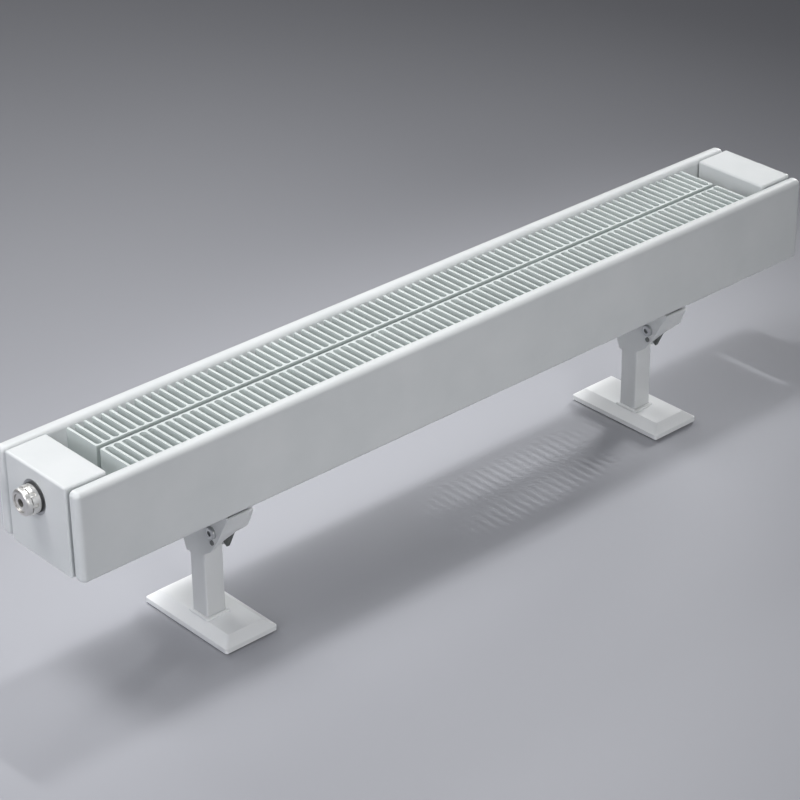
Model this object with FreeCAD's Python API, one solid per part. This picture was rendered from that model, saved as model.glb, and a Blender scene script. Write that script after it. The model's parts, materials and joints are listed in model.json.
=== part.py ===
import FreeCAD, Part
import math
import os

# Low free-standing hot-water convector: two flat steel tubes, two end headers,
# two rows of convector fins between the tubes and two height-adjustable feet.
# Millimetres. +X runs along the length, -Y is the room side, +Z is up.
# The origin is on the floor, below the middle of the heater.

os.makedirs("parts", exist_ok=True)

# ---- driving dimensions -------------------------------------------------
LENGTH = 720.0            # end to end over the flat tubes
DEPTH = 94.0              # over the two tubes
TUBE_H = 70.0             # height of a flat tube
TUBE_T = 11.0             # thickness of a flat tube
TUBE_WALL = 1.5
TUBE_EDGE_R = 4.5         # outer rounding of the tubes
TUBE_Z = 110.0            # underside of the tubes above the floor
CAP_LEN = 8.0             # closed end of each tube
CAP_SPIGOT = 4.0          # part of the end that sits inside the tube
CAP_PLAY = 0.3            # gap around the spigot

HEADER_LEN = 34.0         # along X
HEADER_HALF_Y = 34.2
HEADER_WALL = 2.5
HEADER_EDGE_R = 1.8
NIPPLE_W = 17.0           # flat water passage between header and tube
NIPPLE_H = 40.0
NIPPLE_WALL = 2.0

FIN_END_X = 308.0         # the fin rows end here on both sides
FIN_GAP = 4.4             # air gap between the two rows
FIN_T = 2.0
FIN_SLOTS = 85
FIN_SPINE = 3.9           # thickness of the scalloped back of a row
FIN_DROP = 4.0            # fins stop this far inside the tube rims

SOCKET_BORE_R = 9.5       # tapping bore of a half inch pipe thread
SOCKET_OUTER_R = 13.0
SOCKET_LEN = 18.0

PLUG_Y = 2.5              # vent and blanking plug, off the middle
PLUG_Z = TUBE_Z + 47.5
BUSH_LEN = 14.0
SHANK_R = 9.4
SHANK_LEN = 12.0
SEAL_R = 10.9
SEAL_T = 1.5
COLLAR_R = 10.5
COLLAR_T = 6.0
COLLAR_NOTCHES = 8
NOTCH_R = 1.5
NOTCH_LEN = 4.0
OUTLET_R = 9.8
OUTLET_T = 4.5
OUTLET_EDGE = 2.2
OUTLET_HOLE_R = 1.1
NECK_R = 6.0              # the outlet ring turns on this neck
NECK_LIP_R = 6.4
NECK_LIP_T = 0.9
RUN_PLAY = 0.05           # running clearance, radial
SPINDLE_R = 3.0
SPINDLE_LEN = 14.0
SPINDLE_SQUARE = 4.0
SPINDLE_DEPTH = 2.5       # the spindle sits this far inside the neck
HEX_PLUG_AF = 20.0
HEX_PLUG_T = 10.5

FOOT_X = 221.0            # foot centres at plus and minus this
BASE_W = 47.0             # cover over the base, along X
BASE_D = 94.0             # cover over the base, along Y
COVER_FOOT_Z = 1.2
COVER_WALL_Z = 5.0        # height of the upright edge of the cover
COVER_TOP_Z = 11.0
COVER_TOP_W = 31.0
COVER_TOP_D = 80.0
COVER_CORNER_R = 2.0
COVER_TOP_R = 1.0
COVER_INNER_R = 0.5
COVER_T = 1.5
PAD_T = 1.0
PLATE_T = 4.0
PLATE_W = 40.0
PLATE_D = 88.0
PLATE_R = 3.0
FLOOR_HOLE_R = 3.25
FLOOR_HOLE_Y = 33.0

POST_DX = -5.5            # post centre from the foot centre
POST_Y = -6.0
POST_W = 17.0
POST_WALL = 1.5
POST_EDGE_R = 1.5
POST_TOP_Z = 88.0
STUB_W = 13.4             # bar that telescopes inside the post
STUB_BORE = 8.4
STUB_FOOT_Z = 48.0
TRAVEL_OUT = 20.0         # the post can slide this far out of the head
TRAVEL_IN = 6.0
COLLAR_W = 22.0
COLLAR_TOP_Z = 12.8
SKIRT_W = 19.2
SKIRT_Z = 8.0
SLIP = 0.3                # gap between sliding flat faces

CLAMP_Y = -27.6           # bolt that squeezes the head onto the post
CLAMP_Z = 91.0
CLAMP_R = 2.5
CLAMP_HEAD_R = 4.8
CLAMP_HEAD = 2.4
CLAMP_KEY_AF = 4.0
CLAMP_NUT_AF = 8.0
CLAMP_NUT_T = 4.0
CLAMP_END = 1.5           # the bolt stands out of its nut by this
LOCK_Y = -27.6            # small screw below the clamp bolt, in the near plate
LOCK_Z = 82.6
LOCK_R = 1.9
LOCK_PROUD = 0.8

CRADLE_T = 3.0            # bowl-shaped plate of the head bracket
HEAD_PAD_T = 1.5
CHEEK_T = 2.0             # plate on the other side of the post
WEB_T = 1.5               # curved front that joins the two plates
WEB_TOP = 0.2             # its upper edge stops this far under the tube
# Lower outlines from the post outwards, as distance from the middle plane of
# the heater and depth below the tubes. BOWL serves both arms of its plate.
BOWL = ((15.2, 35.6), (20.0, 32.3), (25.0, 29.0), (31.0, 24.5), (36.0, 20.2),
        (40.5, 16.0), (42.5, 11.5), (44.0, 8.0), (46.5, 1.5))
HUB_DEPTH = 43.5
CHEEK_FRONT = ((15.2, 44.0), (21.0, 39.5), (25.5, 36.0), (29.6, 30.0), (33.9, 23.4),
               (37.7, 16.4), (40.3, 11.1), (44.0, 5.4), (46.5, WEB_TOP))
CHEEK_BACK = ((2.5, 47.0), (6.0, 38.0), (22.0, 27.0), (34.0, 12.0), (36.0, 3.0))
WEDGE = ((-25.0, 29.0), (-16.0, 35.1), (-14.8, 36.6), (-14.8, 41.0), (-18.3, 43.5))
TAB_T = 3.0               # flat strap of the bracket, along the heater
TAB_REACH = 62.0
TAB_HALF_Y = 9.0
SIDE_BOLT_Z = 76.0
SIDE_BOLT_R = 3.9
SIDE_BOLT_AF = 13.0
SIDE_BOLT_HEAD = 5.3
WASHER_R = 7.5
WASHER_T = 1.6
BOLT_HOLE_PLAY = 0.4
HEAD_SCREW_DX = (22.0, 48.0)   # from the post, along the strap
HEAD_SCREW_R = 2.9
HEAD_SCREW_AF = 10.0
HEAD_SCREW_HEAD = 4.0

# ---- derived positions --------------------------------------------------
TUBE_TOP = TUBE_Z + TUBE_H
TUBE_INNER_Y = DEPTH / 2 - TUBE_T
END_X = LENGTH / 2
HEADER_INNER_X = END_X - HEADER_LEN
HEADER_MID_X = END_X - HEADER_LEN / 2
TUBE_MID_Z = TUBE_Z + TUBE_H / 2
FIN_PITCH = (2 * FIN_END_X - FIN_T) / FIN_SLOTS
FIN_Z0 = TUBE_Z + FIN_DROP
FIN_Z1 = TUBE_TOP - FIN_DROP
TAB_Z = TUBE_Z - TAB_T
COLLAR_X = END_X + SEAL_T
OUTLET_X = COLLAR_X + COLLAR_T

X_AXIS = FreeCAD.Vector(1, 0, 0)
Y_AXIS = FreeCAD.Vector(0, 1, 0)
Z_AXIS = FreeCAD.Vector(0, 0, 1)


# ---- helpers --------------------------------------------------------------
def save(name, shape):
    shape.exportStep("parts/" + name + ".step")


def vec(x, y, z):
    return FreeCAD.Vector(x, y, z)


def box(x0, x1, y0, y1, z0, z1):
    return Part.makeBox(x1 - x0, y1 - y0, z1 - z0, vec(x0, y0, z0))


def soft_box(x0, x1, y0, y1, z0, z1, radius):
    """A box with every edge rounded."""
    solid = box(x0, x1, y0, y1, z0, z1)
    return solid.makeFillet(radius, solid.Edges)


def upright_box(x, y, w, d, radius, z0, z1):
    """A box centred on x, y with its upright edges rounded."""
    solid = box(x - w / 2, x + w / 2, y - d / 2, y + d / 2, z0, z1)
    upright = [e for e in solid.Edges if abs(e.tangentAt(e.FirstParameter).z) > 0.9]
    return solid.makeFillet(radius, upright)


def rod(radius, start, axis, length):
    return Part.makeCylinder(radius, length, start, axis)


def ring(outer_r, inner_r, start, axis, length):
    return rod(outer_r, start, axis, length).cut(rod(inner_r, start, axis, length))


def hexagon(across_flats, start, axis, length):
    """A hexagonal prism, with two flats across the second axis of its plane."""
    radius = across_flats / math.sqrt(3)
    points = []
    for i in range(7):
        angle = math.radians(60 * i)
        points.append(vec(radius * math.cos(angle), radius * math.sin(angle), 0))
    prism = Part.Face(Part.makePolygon(points)).extrude(vec(0, 0, length))
    turn = FreeCAD.Rotation(Z_AXIS, axis)
    prism.Placement = FreeCAD.Placement(start, turn)
    return prism


def rounded_wire(x, y, w, d, radius, z):
    """A closed rounded rectangle at height z."""
    outline = upright_box(x, y, w, d, radius, z, z + 1)
    low = [f for f in outline.Faces if abs(f.CenterOfMass.z - z) < 1e-6]
    return low[0].OuterWire


# ---- flat tubes -------------------------------------------------------------
def outer_tube(side):
    """The whole rounded outside of one tube; side is -1 front, +1 back."""
    near = side * TUBE_INNER_Y
    far = side * DEPTH / 2
    return soft_box(-END_X, END_X, min(near, far), max(near, far), TUBE_Z, TUBE_TOP, TUBE_EDGE_R)


def inner_tube(side, x0, x1, play):
    """The water space of one tube, made smaller all round by play."""
    margin = TUBE_WALL + play
    near = side * TUBE_INNER_Y
    far = side * DEPTH / 2
    y0 = min(near, far) + margin
    y1 = max(near, far) - margin
    return box(x0, x1, y0, y1, TUBE_Z + TUBE_EDGE_R, TUBE_TOP - TUBE_EDGE_R)


def nipple_hole(x, y0, y1):
    half_w = NIPPLE_W / 2
    half_h = NIPPLE_H / 2
    return box(x - half_w, x + half_w, y0, y1, TUBE_MID_Z - half_h, TUBE_MID_Z + half_h)


def make_tube(name, side):
    """One tube without its ends, and its two closed ends."""
    body_x = END_X - CAP_LEN
    outside = outer_tube(side)
    middle = box(-body_x, body_x, -DEPTH, DEPTH, 0, 2 * TUBE_TOP)
    tube = outside.common(middle).cut(inner_tube(side, -body_x, body_x, 0))
    wall_a = side * (TUBE_INNER_Y - 1)
    wall_b = side * (TUBE_INNER_Y + TUBE_WALL)
    for x in (-HEADER_MID_X, HEADER_MID_X):
        tube = tube.cut(nipple_hole(x, min(wall_a, wall_b), max(wall_a, wall_b)))
    save(name, tube)
    for end_name, end in (("left", -1), ("right", 1)):
        edge = end * body_x
        tip = end * (END_X + 1)
        slab = box(min(edge, tip), max(edge, tip), -DEPTH, DEPTH, 0, 2 * TUBE_TOP)
        inside = end * (body_x - CAP_SPIGOT)
        spigot = inner_tube(side, min(edge, inside), max(edge, inside), CAP_PLAY)
        save(name + "_" + end_name + "_cap", outside.common(slab).fuse(spigot).removeSplitter())


# ---- headers ----------------------------------------------------------------
def make_header(name, end):
    """A hollow box welded from six plates; end is -1 left, +1 right."""
    outer = end * END_X
    inner = end * HEADER_INNER_X
    x0 = min(outer, inner)
    x1 = max(outer, inner)
    wall = HEADER_WALL
    half = HEADER_HALF_Y
    shell = soft_box(x0, x1, -half, half, TUBE_Z, TUBE_TOP, HEADER_EDGE_R)
    x = end * HEADER_MID_X
    start = vec(end * (END_X - wall), PLUG_Y, PLUG_Z)
    fit = SOCKET_OUTER_R + RUN_PLAY
    shell = shell.cut(nipple_hole(x, -half - 1, half + 1))
    shell = shell.cut(rod(fit, vec(x, 0, TUBE_Z - 1), Z_AXIS, wall + 1))
    shell = shell.cut(rod(fit, start, X_AXIS * end, wall + 1))
    low = TUBE_Z + wall
    high = TUBE_TOP - wall
    plates = [
        box(x0, x1, -half, half, TUBE_Z, low),
        box(x0, x1, -half, half, high, TUBE_TOP),
        box(x0, x1, -half, wall - half, low, high),
        box(x0, x1, half - wall, half, low, high),
        box(x0, x0 + wall, wall - half, half - wall, low, high),
        box(x1 - wall, x1, wall - half, half - wall, low, high),
    ]
    save(name + "_header", Part.makeCompound([shell.common(plate) for plate in plates]))

    passages = []
    for side in (-1, 1):
        y_a = side * (half - wall)
        y_b = side * (TUBE_INNER_Y + TUBE_WALL)
        y0 = min(y_a, y_b)
        y1 = max(y_a, y_b)
        outside = nipple_hole(x, y0, y1)
        w = NIPPLE_W / 2 - NIPPLE_WALL
        h = NIPPLE_H / 2 - NIPPLE_WALL
        passage = box(x - w, x + w, y0, y1, TUBE_MID_Z - h, TUBE_MID_Z + h)
        passages.append(outside.cut(passage))
    save(name + "_header_nipples", Part.makeCompound(passages))

    socket = ring(SOCKET_OUTER_R, SOCKET_BORE_R, vec(x, 0, TUBE_Z), Z_AXIS, SOCKET_LEN)
    save(name + "_pipe_socket", socket)

    bush_start = vec(end * (END_X - BUSH_LEN), PLUG_Y, PLUG_Z)
    bush = ring(SOCKET_OUTER_R, SOCKET_BORE_R, bush_start, X_AXIS * end, BUSH_LEN)
    return bush


# ---- fins -------------------------------------------------------------------
def make_fin_row(name, side):
    """A scalloped back bar beside the middle gap, and fins out to the tube."""
    y_gap = FIN_GAP / 2
    y_root = y_gap + FIN_SPINE
    slot_r = (FIN_PITCH - FIN_T) / 2
    spine = box(-FIN_END_X, FIN_END_X, y_gap, y_root, FIN_Z0, FIN_Z1)
    scallops = []
    fins = []
    for i in range(FIN_SLOTS + 1):
        x = -FIN_END_X + i * FIN_PITCH
        fins.append(box(x, x + FIN_T, y_root, TUBE_INNER_Y, FIN_Z0, FIN_Z1))
        if i < FIN_SLOTS:
            start = vec(x + FIN_T + slot_r, y_root, FIN_Z0 - 1)
            scallops.append(rod(slot_r, start, Z_AXIS, FIN_Z1 - FIN_Z0 + 2))
    spine = spine.cut(scallops)
    row = Part.makeCompound([spine] + fins)
    if side < 0:
        row = row.mirror(vec(0, 0, 0), Y_AXIS)
    save(name, row)


# ---- vent and blanking plug -------------------------------------------------
def make_vent(bush):
    """Vent plug screwed into the end of the left header."""
    out = X_AXIS * -1
    save("vent_bush", bush)

    face = vec(-END_X, PLUG_Y, PLUG_Z)
    save("vent_seal", ring(SEAL_R, SHANK_R + 0.1, face, out, SEAL_T))

    shank = rod(SHANK_R, vec(-END_X + SHANK_LEN, PLUG_Y, PLUG_Z), out, SHANK_LEN + SEAL_T)
    collar = rod(COLLAR_R, vec(-COLLAR_X, PLUG_Y, PLUG_Z), out, COLLAR_T)
    for i in range(COLLAR_NOTCHES):
        angle = math.radians(360.0 * i / COLLAR_NOTCHES)
        y = PLUG_Y + COLLAR_R * math.cos(angle)
        z = PLUG_Z + COLLAR_R * math.sin(angle)
        notch_x = NOTCH_LEN - COLLAR_X - COLLAR_T
        collar = collar.cut(rod(NOTCH_R, vec(notch_x, y, z), out, NOTCH_LEN + 1))
    neck_len = OUTLET_T - 1.0
    neck = rod(NECK_R, vec(-OUTLET_X, PLUG_Y, PLUG_Z), out, neck_len)
    lip_start = vec(-OUTLET_X - neck_len + NECK_LIP_T, PLUG_Y, PLUG_Z)
    lip = rod(NECK_LIP_R, lip_start, out, NECK_LIP_T)
    body = shank.fuse([collar, neck, lip])
    bore_r = SPINDLE_R + RUN_PLAY
    body = body.cut(rod(bore_r, vec(-END_X + SHANK_LEN + 1, PLUG_Y, PLUG_Z), out, 40))
    save("vent_body", body.removeSplitter())

    play = RUN_PLAY
    gap = SLIP
    start = vec(-OUTLET_X - gap, PLUG_Y, PLUG_Z)
    outlet = rod(OUTLET_R, start, out, OUTLET_T - gap)
    tip = -OUTLET_X - OUTLET_T
    rim = [e for e in outlet.Edges if abs(e.BoundBox.XMax - tip) < 1e-3 and e.BoundBox.XLength < 1e-3]
    outlet = outlet.makeFillet(OUTLET_EDGE, rim)
    outlet = outlet.cut(rod(NECK_R + play, start + X_AXIS, out, OUTLET_T + 2))
    lip_room = vec(-OUTLET_X - neck_len + NECK_LIP_T + gap, PLUG_Y, PLUG_Z)
    outlet = outlet.cut(rod(NECK_LIP_R + gap, lip_room, out, OUTLET_T))
    at = vec(start.x - 1.6, PLUG_Y, PLUG_Z - NECK_R)
    outlet = outlet.cut(rod(OUTLET_HOLE_R, at, Z_AXIS * -1, OUTLET_R))
    save("vent_outlet_ring", outlet)

    spindle_x = -OUTLET_X - neck_len + SPINDLE_DEPTH
    square = SPINDLE_SQUARE / 2
    spindle = rod(SPINDLE_R, vec(spindle_x + 3 + SPINDLE_LEN, PLUG_Y, PLUG_Z), out, SPINDLE_LEN)
    tip_block = box(spindle_x, spindle_x + 3, PLUG_Y - square, PLUG_Y + square,
                    PLUG_Z - square, PLUG_Z + square)
    save("vent_spindle", spindle.fuse(tip_block).removeSplitter())


def make_blank_plug(bush):
    """Hexagon plug that closes the end of the right header."""
    save("plug_bush", bush)
    face = vec(END_X, PLUG_Y, PLUG_Z)
    save("plug_seal", ring(SEAL_R, SHANK_R + 0.1, face, X_AXIS, SEAL_T))
    shank = rod(SHANK_R, vec(END_X - SHANK_LEN, PLUG_Y, PLUG_Z), X_AXIS, SHANK_LEN + SEAL_T)
    head = hexagon(HEX_PLUG_AF, vec(COLLAR_X, PLUG_Y, PLUG_Z), X_AXIS, HEX_PLUG_T)
    limit = rod(HEX_PLUG_AF * 0.56, vec(COLLAR_X, PLUG_Y, PLUG_Z), X_AXIS, HEX_PLUG_T)
    edges = [e for e in limit.Edges if e.BoundBox.XMin > COLLAR_X + HEX_PLUG_T - 1e-3]
    head = head.common(limit.makeChamfer(1.2, edges))
    save("blank_plug", shank.fuse(head).removeSplitter())


# ---- feet -------------------------------------------------------------------
def flat_plate(x0, thickness, outline):
    """A plate across the heater from points of Y and depth below the tubes."""
    corners = [vec(x0, y, TUBE_Z - depth) for y, depth in outline]
    face = Part.Face(Part.makePolygon(corners + [corners[0]]))
    return face.extrude(vec(thickness, 0, 0))


def bowl_plate(x0):
    """Both arms of the head and the hub beside the post, in one plate."""
    front = POST_Y - POST_W / 2
    back = POST_Y + POST_W / 2
    outline = [(-y, depth) for y, depth in reversed(BOWL)]
    outline += [(front, HUB_DEPTH - 7), (front, HUB_DEPTH), (back, HUB_DEPTH)]
    outline += list(BOWL)
    return flat_plate(x0, CRADLE_T, outline)


def cheek_plate(x0):
    """The plate on the other side of the post, with its two arms."""
    outline = [(-y, depth) for y, depth in reversed(CHEEK_FRONT)]
    outline += list(CHEEK_BACK)
    outline += [(CHEEK_BACK[-1][0], 0), (1.5 - CHEEK_FRONT[-1][0], 0)]
    return flat_plate(x0, CHEEK_T, outline)


def web_section(x, outline):
    """A closed section of the curved front, inside an outline of the plates."""
    room = -(POST_Y - POST_W / 2 - SLIP)
    line = outline[:-1] + ((outline[-1][0], WEB_TOP),)
    outer = [(-y, depth) for y, depth in line]
    inner = [(-max(y - WEB_T, room), max(depth - WEB_T, 0)) for y, depth in line]
    corners = [vec(x, y, TUBE_Z - depth) for y, depth in outer + inner[::-1]]
    return Part.makePolygon(corners + [corners[0]])


def make_head(name, post_x):
    """The fixed head of one foot, fastened under the tubes."""
    face = post_x + POST_W / 2 + SLIP
    outer = face + CRADLE_T
    cheek_x = post_x - POST_W / 2 - SLIP - CHEEK_T
    half = STUB_W / 2
    tab_x = post_x - TAB_REACH
    tab = box(tab_x, cheek_x + CHEEK_T, -TAB_HALF_Y, TAB_HALF_Y, TAB_Z, TUBE_Z)
    bridge = box(cheek_x, face, POST_Y - half, POST_Y + half, TAB_Z, TUBE_Z)
    sections = [web_section(cheek_x + CHEEK_T, CHEEK_FRONT), web_section(face, BOWL)]
    web = Part.makeLoft(sections, True, True)
    bracket = bowl_plate(face).fuse([tab, bridge, cheek_plate(cheek_x), web]).removeSplitter()
    side_hole = vec(face - 1, POST_Y, SIDE_BOLT_Z)
    bracket = bracket.cut(rod(SIDE_BOLT_R + BOLT_HOLE_PLAY, side_hole, X_AXIS, CRADLE_T + 2))
    clamp_hole = vec(cheek_x - 1, CLAMP_Y, CLAMP_Z)
    bracket = bracket.cut(rod(CLAMP_R + BOLT_HOLE_PLAY, clamp_hole, X_AXIS, outer - cheek_x + 2))
    lock = vec(cheek_x - LOCK_PROUD, LOCK_Y, LOCK_Z)
    lock_len = LOCK_PROUD + CHEEK_T
    bracket = bracket.cut(rod(LOCK_R + RUN_PLAY, lock, X_AXIS, lock_len))
    save(name + "_lock_screw", rod(LOCK_R, lock, X_AXIS, lock_len))
    screws = []
    rail = box(tab_x, cheek_x, -TAB_HALF_Y, TAB_HALF_Y, TUBE_Z, FIN_Z0)
    low = TAB_Z - HEAD_SCREW_HEAD
    for dx in HEAD_SCREW_DX:
        x = post_x - dx
        bracket = bracket.cut(rod(HEAD_SCREW_R + 0.3, vec(x, 0, low), Z_AXIS, 10))
        rail = rail.cut(rod(HEAD_SCREW_R + 0.1, vec(x, 0, TUBE_Z - 1), Z_AXIS, 10))
        head = hexagon(HEAD_SCREW_AF, vec(x, 0, low), Z_AXIS, HEAD_SCREW_HEAD)
        shank = rod(HEAD_SCREW_R, vec(x, 0, low), Z_AXIS, FIN_Z0 - low)
        screws.append(head.fuse(shank).removeSplitter())
    save(name + "_head_bracket", bracket)
    save(name + "_guide_wedge", flat_plate(face, CRADLE_T, WEDGE))
    save(name + "_head_rail", rail)
    save(name + "_head_screws", Part.makeCompound(screws))

    stub = box(post_x - half, post_x + half, POST_Y - half, POST_Y + half, STUB_FOOT_Z, TAB_Z)
    bore = STUB_BORE / 2
    hollow = box(post_x - bore, post_x + bore, POST_Y - bore, POST_Y + bore, 0, TAB_Z)
    stub = stub.cut(hollow)
    stub = stub.cut(rod(SIDE_BOLT_R + 0.1, vec(post_x, POST_Y, SIDE_BOLT_Z), X_AXIS, half + 1))
    save(name + "_head_stub", stub)

    pads = []
    rise = TUBE_Z - HEAD_PAD_T
    for side in (-1, 1):
        y_a = side * (TUBE_INNER_Y + 0.5)
        y_b = side * (DEPTH / 2 - 0.5)
        pads.append(box(face, outer, min(y_a, y_b), max(y_a, y_b), rise, TUBE_Z))
    save(name + "_head_pads", Part.makeCompound(pads))

    washer = ring(WASHER_R, SIDE_BOLT_R + BOLT_HOLE_PLAY, vec(outer, POST_Y, SIDE_BOLT_Z), X_AXIS, WASHER_T)
    save(name + "_side_washer", washer)
    seat = outer + WASHER_T
    head = hexagon(SIDE_BOLT_AF, vec(seat, POST_Y, SIDE_BOLT_Z), X_AXIS, SIDE_BOLT_HEAD)
    shank_x = post_x + bore - 1
    shank = rod(SIDE_BOLT_R, vec(shank_x, POST_Y, SIDE_BOLT_Z), X_AXIS, seat - shank_x)
    save(name + "_side_bolt", head.fuse(shank).removeSplitter())
    make_clamp(name, cheek_x, outer)


def make_clamp(name, x0, x1):
    """Bolt through both plates in front of the post, and its nut at x1."""
    start = vec(x0 - CLAMP_HEAD, CLAMP_Y, CLAMP_Z)
    head = rod(CLAMP_HEAD_R, start, X_AXIS, CLAMP_HEAD)
    rim = [e for e in head.Edges if e.BoundBox.XMax < start.x + 1e-3]
    head = head.makeFillet(1.0, rim)
    length = CLAMP_HEAD + x1 - x0 + CLAMP_NUT_T + CLAMP_END
    screw = head.fuse(rod(CLAMP_R, start + X_AXIS * 1.0, X_AXIS, length - 1.0)).removeSplitter()
    key = hexagon(CLAMP_KEY_AF, start, X_AXIS, 1.8)
    save(name + "_clamp_screw", screw.cut(key))
    at = vec(x1, CLAMP_Y, CLAMP_Z)
    nut = hexagon(CLAMP_NUT_AF, at, X_AXIS, CLAMP_NUT_T)
    save(name + "_clamp_nut", nut.cut(rod(CLAMP_R + RUN_PLAY, at, X_AXIS, CLAMP_NUT_T)))


def make_post(name, post_x):
    """Square tube that slides on the head."""
    foot_z = PAD_T + PLATE_T
    post = upright_box(post_x, POST_Y, POST_W, POST_W, POST_EDGE_R, foot_z, POST_TOP_Z)
    inner = POST_W - 2 * POST_WALL
    post = post.cut(upright_box(post_x, POST_Y, inner, inner, 0.2, foot_z, POST_TOP_Z))
    slot_half = SIDE_BOLT_R + 0.6
    slot_z = SIDE_BOLT_Z - TRAVEL_IN - slot_half
    slot = box(post_x, post_x + POST_W, POST_Y - slot_half, POST_Y + slot_half, slot_z, POST_TOP_Z)
    post = post.cut(slot)
    save(name + "_post", post)


def make_base(name, foot_x, post_x):
    """Floor plate, anti-slip sheet and the lift-off cover with its collar."""
    plate = upright_box(foot_x, 0, PLATE_W, PLATE_D, PLATE_R, PAD_T, PAD_T + PLATE_T)
    pad = upright_box(foot_x, 0, PLATE_W, PLATE_D, PLATE_R, 0, PAD_T)
    for y in (-FLOOR_HOLE_Y, FLOOR_HOLE_Y):
        plate = plate.cut(rod(FLOOR_HOLE_R, vec(foot_x, y, PAD_T), Z_AXIS, PLATE_T))
        pad = pad.cut(rod(FLOOR_HOLE_R + 0.5, vec(foot_x, y, 0), Z_AXIS, PAD_T))
    save(name + "_base_plate", plate)
    save(name + "_base_pad", pad)

    outside = cover_solid(foot_x, 0, COVER_FOOT_Z)
    inside = cover_solid(foot_x, COVER_T, COVER_FOOT_Z - 1)
    cover = outside.cut(inside)
    opening = SKIRT_W + 2 * SLIP
    cover = cover.cut(upright_box(post_x, POST_Y, opening, opening, 1.5, SKIRT_Z - 2, COVER_TOP_Z + 1))
    save(name + "_base_cover", cover)

    skirt = upright_box(post_x, POST_Y, SKIRT_W, SKIRT_W, 1.5, SKIRT_Z, COVER_TOP_Z + 1)
    rim = upright_box(post_x, POST_Y, COLLAR_W, COLLAR_W, 2.0, COVER_TOP_Z, COLLAR_TOP_Z)
    top = [e for e in rim.Edges if e.BoundBox.ZMin > COLLAR_TOP_Z - 1e-3]
    rim = rim.makeChamfer(0.6, top)
    opening = POST_W + 2 * SLIP
    passage = upright_box(post_x, POST_Y, opening, opening, POST_EDGE_R, SKIRT_Z - 1, COLLAR_TOP_Z + 1)
    save(name + "_post_collar", rim.fuse(skirt).removeSplitter().cut(passage))


def cover_solid(foot_x, inset, z0):
    """The outside of the base cover, or its inside when inset is the wall."""
    step = 2 * inset
    wall_z = COVER_WALL_Z - 0.4 * inset
    top_z = COVER_TOP_Z - inset
    corner = max(COVER_CORNER_R - inset, COVER_INNER_R)
    top_corner = max(COVER_TOP_R - inset, COVER_INNER_R)
    lower = upright_box(foot_x, 0, BASE_W - step, BASE_D - step, corner, z0, wall_z)
    wide = rounded_wire(foot_x, 0, BASE_W - step, BASE_D - step, corner, wall_z)
    narrow_w = COVER_TOP_W - 1.6 * inset
    narrow_d = COVER_TOP_D - 1.6 * inset
    narrow = rounded_wire(foot_x, 0, narrow_w, narrow_d, top_corner, top_z)
    bevel = Part.makeLoft([wide, narrow], True, True)
    return lower.fuse(bevel).removeSplitter()


def main():
    make_tube("front_tube", -1)
    make_tube("back_tube", 1)
    left_bush = make_header("left", -1)
    right_bush = make_header("right", 1)
    make_vent(left_bush)
    make_blank_plug(right_bush)
    make_fin_row("front_fin_row", -1)
    make_fin_row("back_fin_row", 1)
    for name, foot_x in (("left", -FOOT_X), ("right", FOOT_X)):
        post_x = foot_x + POST_DX
        make_head(name, post_x)
        make_post(name, post_x)
        make_base(name, foot_x, post_x)


main()
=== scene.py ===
import json
import math
import bpy
from mathutils import Matrix, Vector

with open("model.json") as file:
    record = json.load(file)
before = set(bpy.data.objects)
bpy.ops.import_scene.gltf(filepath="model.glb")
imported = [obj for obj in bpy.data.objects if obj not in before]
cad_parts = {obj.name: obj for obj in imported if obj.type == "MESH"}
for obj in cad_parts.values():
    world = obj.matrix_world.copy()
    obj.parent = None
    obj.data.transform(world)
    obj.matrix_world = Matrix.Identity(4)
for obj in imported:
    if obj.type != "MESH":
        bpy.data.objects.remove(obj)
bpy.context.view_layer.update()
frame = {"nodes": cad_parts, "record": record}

nodes = frame["nodes"]

# ---- camera: in front and beyond the left end, looking down -------------------
CAM_POS = Vector((-1.18623, -1.28684, 1.07308))
CAM_YAW = math.radians(41.81)          # from +Y towards +X
CAM_PITCH = math.radians(29.20)        # down from level
CAM_ROLL = math.radians(-0.669)
CAM_LENS = 119.63                      # millimetres, like the sensor
SENSOR_WIDTH = 36.0
CLIP_NEAR = 0.05
CLIP_FAR = 60.0

# ---- looks: linear colours, bump heights in metres, noise scales per metre -----
# Most of a noise texture's values lie between these; colour and roughness run across them.
NOISE_LOW = 0.3
NOISE_HIGH = 0.7

# slot: darker colour, lighter colour, least and most roughness, strength of the orange peel
POWDER_COATS = {
    "body_coat": ((0.69, 0.715, 0.72), (0.74, 0.76, 0.765), 0.36, 0.46, 0.35),
    # fin_coat is the same white enamel as the body; its darker, greener tone is painted shade and
    # painted bounce light from the narrow fin channels.
    "fin_coat": ((0.615, 0.665, 0.655), (0.665, 0.715, 0.705), 0.42, 0.55, 0.4),
    "foot_coat": ((0.70, 0.715, 0.72), (0.75, 0.765, 0.77), 0.36, 0.48, 0.35),
}
COAT_MOTTLE_SCALE = 22.0
COAT_GRAIN_SCALE = 420.0
COAT_PEEL_SCALE = 650.0
COAT_PEEL_HEIGHT = 0.00006
COAT_SPECULAR = 0.5
COAT_GLOSS_WEIGHT = 0.12
COAT_GLOSS_ROUGHNESS = 0.25

PLASTIC_LOW = (0.86, 0.875, 0.88)
PLASTIC_HIGH = (0.90, 0.91, 0.915)
PLASTIC_MOTTLE_SCALE = 30.0
PLASTIC_GRAIN_SCALE = 900.0
PLASTIC_ROUGHNESS = (0.34, 0.44)
PLASTIC_GRAIN_HEIGHT = 0.00003
PLASTIC_GRAIN_STRENGTH = 0.5

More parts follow.
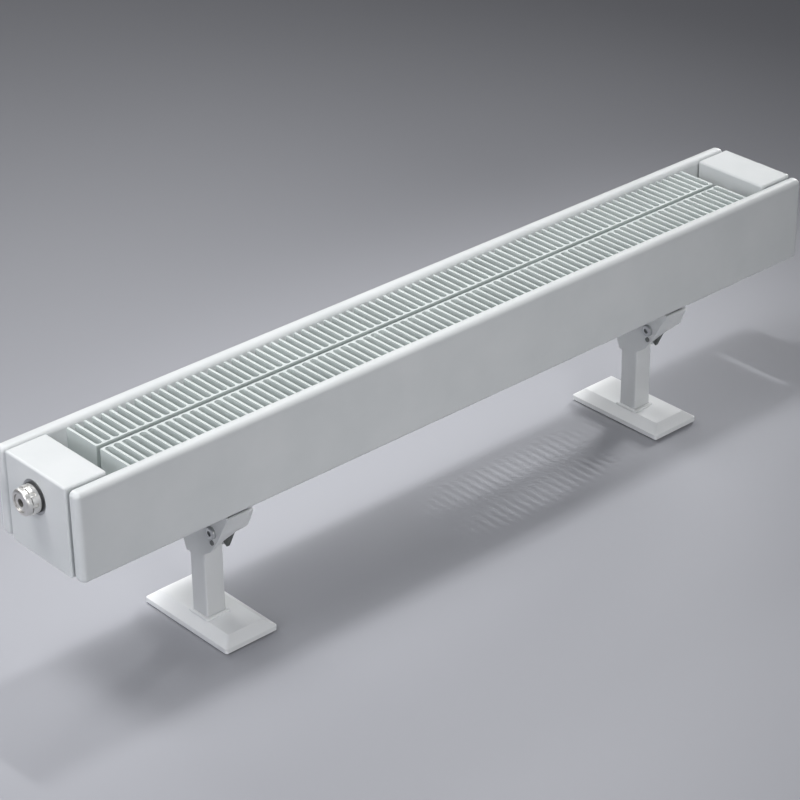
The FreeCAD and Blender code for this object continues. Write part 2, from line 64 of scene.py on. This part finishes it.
# slot: darker colour, lighter colour, least and most roughness, scale of the clouding, metallic
METALS = {
    "zinc_steel": ((0.42, 0.43, 0.44), (0.58, 0.59, 0.60), 0.3, 0.5, 90.0, 1.0),
    "dark_fixings": ((0.10, 0.11, 0.105), (0.16, 0.17, 0.165), 0.35, 0.55, 120.0, 0.3),
    "vent_chrome": ((0.74, 0.73, 0.71), (0.86, 0.85, 0.83), 0.36, 0.48, 150.0, 1.0),
    # vent_brass keeps a brass hue, but its darkness is painted shade of the spindle's recess in
    # the vent.
    "vent_brass": ((0.13, 0.115, 0.09), (0.22, 0.195, 0.15), 0.3, 0.5, 150.0, 1.0),
}
METAL_GRAIN_FACTOR = 6                 # grain scale over clouding scale
METAL_GRAIN_HEIGHT = 0.00002
METAL_GRAIN_STRENGTH = 0.4

RUBBER_LOW = (0.035, 0.036, 0.037)
RUBBER_HIGH = (0.055, 0.056, 0.057)
RUBBER_CLOUD_SCALE = 160.0
RUBBER_GRAIN_SCALE = 1500.0
RUBBER_ROUGHNESS = (0.62, 0.8)
RUBBER_GRAIN_HEIGHT = 0.00004
RUBBER_GRAIN_STRENGTH = 0.6

FLOOR_HALF = 9.0
FLOOR_LOW = (0.388, 0.394, 0.425)
FLOOR_HIGH = (0.407, 0.413, 0.444)
FLOOR_CLOUD_SCALE = 1.5
FLOOR_ROUGHNESS = 0.7
FLOOR_SPECULAR = 0.15

# ---- light: metres, watts and degrees -------------------------------------------
WHITE = (1, 1, 1)
COOL_WHITE = (0.93, 0.94, 1.0)
WIDE_OPEN = 180.0

# name, place, point it aims at, width and depth, power, beam, colour.
# The key is a narrow strip lying the same way as the fins, which keeps their stripes on the floor.
LAMPS = (
    ("key", (0.085, 0.17, 1.3), (-0.03, 0.17, 0.0), (0.14, 0.036), 1.12, 80.0, WHITE),
    ("top_soft", (-0.8, 0.3, 1.9), (-0.35, -0.1, 0.0), (0.8, 0.8), 2.7, 60.0, WHITE),
    ("side", (1.09, 0.32, 0.46), (0.0, 0.02, 0.0), (0.28, 0.22), 0.40, 37.0, WHITE),
    ("back", (-0.1, 2.4, 1.6), (-0.05, 0.45, 0.0), (1.6, 1.0), 3.25, 60.0, WHITE),
    ("front_fill", (-0.5, -1.75, 0.75), (0.02, -0.05, 0.1), (0.9, 0.6), 1.25, 50.0, WHITE),
    ("end_fill", (-1.5, -0.12, 0.72), (-0.36, 0.0, 0.12), (0.6, 0.6), 6.0, WIDE_OPEN, COOL_WHITE),
)
SKY_COLOUR = (0.94, 0.95, 1.0, 1)
SKY_STRENGTH = 0.085


def add_camera():
    ahead = Vector((math.sin(CAM_YAW) * math.cos(CAM_PITCH),
                    math.cos(CAM_YAW) * math.cos(CAM_PITCH),
                    -math.sin(CAM_PITCH)))
    right = Vector((math.cos(CAM_YAW), -math.sin(CAM_YAW), 0))
    up = right.cross(ahead)
    c, s = math.cos(CAM_ROLL), math.sin(CAM_ROLL)
    right, up = c * right + s * up, -s * right + c * up
    turn = Matrix((right, up, -ahead)).transposed().to_4x4()
    data = bpy.data.cameras.new("camera")
    data.lens = CAM_LENS
    data.sensor_width = SENSOR_WIDTH
    data.clip_start = CLIP_NEAR
    data.clip_end = CLIP_FAR
    cam = bpy.data.objects.new("camera", data)
    cam.matrix_world = Matrix.Translation(CAM_POS) @ turn
    bpy.context.scene.collection.objects.link(cam)
    bpy.context.scene.camera = cam


# ---- shader helpers -----------------------------------------------------------
def new_material(name):
    mat = bpy.data.materials.new(name)
    mat.use_nodes = True
    tree = mat.node_tree
    shader = tree.nodes["Principled BSDF"]
    coords = tree.nodes.new("ShaderNodeTexCoord")
    return mat, tree, shader, coords.outputs["Object"]


def noise(tree, coords, scale, detail, rough=0.5):
    tex = tree.nodes.new("ShaderNodeTexNoise")
    tex.inputs["Scale"].default_value = scale
    tex.inputs["Detail"].default_value = detail
    tex.inputs["Roughness"].default_value = rough
    tree.links.new(coords, tex.inputs["Vector"])
    return tex.outputs["Fac"]


def vary_colour(tree, shader, value, low, high):
    """Takes the base colour from low to high with a noise value."""
    node = tree.nodes.new("ShaderNodeValToRGB")
    node.color_ramp.elements[0].position = NOISE_LOW
    node.color_ramp.elements[0].color = (*low, 1)
    node.color_ramp.elements[1].position = NOISE_HIGH
    node.color_ramp.elements[1].color = (*high, 1)
    tree.links.new(value, node.inputs["Fac"])
    tree.links.new(node.outputs["Color"], shader.inputs["Base Color"])


def vary_roughness(tree, shader, value, low, high):
    """Takes the roughness from low to high with a noise value."""
    node = tree.nodes.new("ShaderNodeMapRange")
    node.inputs["From Min"].default_value = NOISE_LOW
    node.inputs["From Max"].default_value = NOISE_HIGH
    node.inputs["To Min"].default_value = low
    node.inputs["To Max"].default_value = high
    tree.links.new(value, node.inputs["Value"])
    tree.links.new(node.outputs["Result"], shader.inputs["Roughness"])


def bump(tree, shader, height, distance, strength):
    node = tree.nodes.new("ShaderNodeBump")
    node.inputs["Distance"].default_value = distance
    node.inputs["Strength"].default_value = strength
    tree.links.new(height, node.inputs["Height"])
    tree.links.new(node.outputs["Normal"], shader.inputs["Normal"])


# ---- materials ------------------------------------------------------------------
def powder_coat(name, low, high, rough_low, rough_high, peel):
    """Sprayed and baked coat: faint mottle, orange peel, soft gloss."""
    mat, tree, shader, coords = new_material(name)
    mottle = noise(tree, coords, COAT_MOTTLE_SCALE, detail=3.0)
    vary_colour(tree, shader, mottle, low, high)
    grain = noise(tree, coords, COAT_GRAIN_SCALE, detail=2.0)
    vary_roughness(tree, shader, grain, rough_low, rough_high)
    skin = noise(tree, coords, COAT_PEEL_SCALE, detail=2.5, rough=0.55)
    bump(tree, shader, skin, COAT_PEEL_HEIGHT, peel)
    shader.inputs["Specular IOR Level"].default_value = COAT_SPECULAR
    shader.inputs["Coat Weight"].default_value = COAT_GLOSS_WEIGHT
    shader.inputs["Coat Roughness"].default_value = COAT_GLOSS_ROUGHNESS
    return mat


def moulded_plastic(name):
    mat, tree, shader, coords = new_material(name)
    mottle = noise(tree, coords, PLASTIC_MOTTLE_SCALE, detail=2.0)
    vary_colour(tree, shader, mottle, PLASTIC_LOW, PLASTIC_HIGH)
    grain = noise(tree, coords, PLASTIC_GRAIN_SCALE, detail=2.0)
    vary_roughness(tree, shader, grain, *PLASTIC_ROUGHNESS)
    bump(tree, shader, grain, PLASTIC_GRAIN_HEIGHT, PLASTIC_GRAIN_STRENGTH)
    return mat


def metal(name, low, high, rough_low, rough_high, scale, metallic):
    mat, tree, shader, coords = new_material(name)
    cloud = noise(tree, coords, scale, detail=4.0)
    vary_colour(tree, shader, cloud, low, high)
    shader.inputs["Metallic"].default_value = metallic
    grain = noise(tree, coords, scale * METAL_GRAIN_FACTOR, detail=3.0)
    vary_roughness(tree, shader, grain, rough_low, rough_high)
    bump(tree, shader, grain, METAL_GRAIN_HEIGHT, METAL_GRAIN_STRENGTH)
    return mat


def rubber(name):
    mat, tree, shader, coords = new_material(name)
    cloud = noise(tree, coords, RUBBER_CLOUD_SCALE, detail=3.0)
    vary_colour(tree, shader, cloud, RUBBER_LOW, RUBBER_HIGH)
    grain = noise(tree, coords, RUBBER_GRAIN_SCALE, detail=2.0)
    vary_roughness(tree, shader, grain, *RUBBER_ROUGHNESS)
    bump(tree, shader, grain, RUBBER_GRAIN_HEIGHT, RUBBER_GRAIN_STRENGTH)
    return mat


def make_materials():
    mats = {name: powder_coat(name, *look) for name, look in POWDER_COATS.items()}
    mats["cover_plastic"] = moulded_plastic("cover_plastic")
    mats.update({name: metal(name, *look) for name, look in METALS.items()})
    mats["rubber"] = rubber("rubber")
    return mats


def paint_nodes():
    mats = make_materials()
    slots = {s["node"]: s["material_slot"] for s in frame["record"]["subparts"]}
    for name, obj in nodes.items():
        for slot in obj.material_slots:
            slot.material = mats[slots[name]]


# ---- floor and light --------------------------------------------------------------
def add_floor():
    half = FLOOR_HALF
    corners = [(-half, -half, 0), (half, -half, 0), (half, half, 0), (-half, half, 0)]
    mesh = bpy.data.meshes.new("floor")
    mesh.from_pydata(corners, [], [(0, 1, 2, 3)])
    floor = bpy.data.objects.new("floor", mesh)
    bpy.context.scene.collection.objects.link(floor)
    mat, tree, shader, coords = new_material("studio_floor")
    cloud = noise(tree, coords, FLOOR_CLOUD_SCALE, detail=2.0)
    vary_colour(tree, shader, cloud, FLOOR_LOW, FLOOR_HIGH)
    shader.inputs["Roughness"].default_value = FLOOR_ROUGHNESS
    shader.inputs["Specular IOR Level"].default_value = FLOOR_SPECULAR
    mesh.materials.append(mat)


def add_lamp(name, place, target, sides, power, beam, colour):
    """A rectangular lamp that shines from place towards target."""
    data = bpy.data.lights.new(name, "AREA")
    data.shape = "RECTANGLE"
    data.size, data.size_y = sides
    data.energy = power
    data.color = colour
    data.spread = math.radians(beam)
    lamp = bpy.data.objects.new(name, data)
    lamp.location = place
    aim = Vector(target) - Vector(place)
    lamp.rotation_euler = aim.to_track_quat("-Z", "Y").to_euler()
    bpy.context.scene.collection.objects.link(lamp)


def add_lights():
    for settings in LAMPS:
        add_lamp(*settings)
    world = bpy.data.worlds.new("studio")
    world.use_nodes = True
    sky = world.node_tree.nodes["Background"]
    sky.inputs["Color"].default_value = SKY_COLOUR
    sky.inputs["Strength"].default_value = SKY_STRENGTH
    bpy.context.scene.world = world
    bpy.context.scene.view_settings.view_transform = "Standard"


add_camera()
paint_nodes()
add_floor()
add_lights()
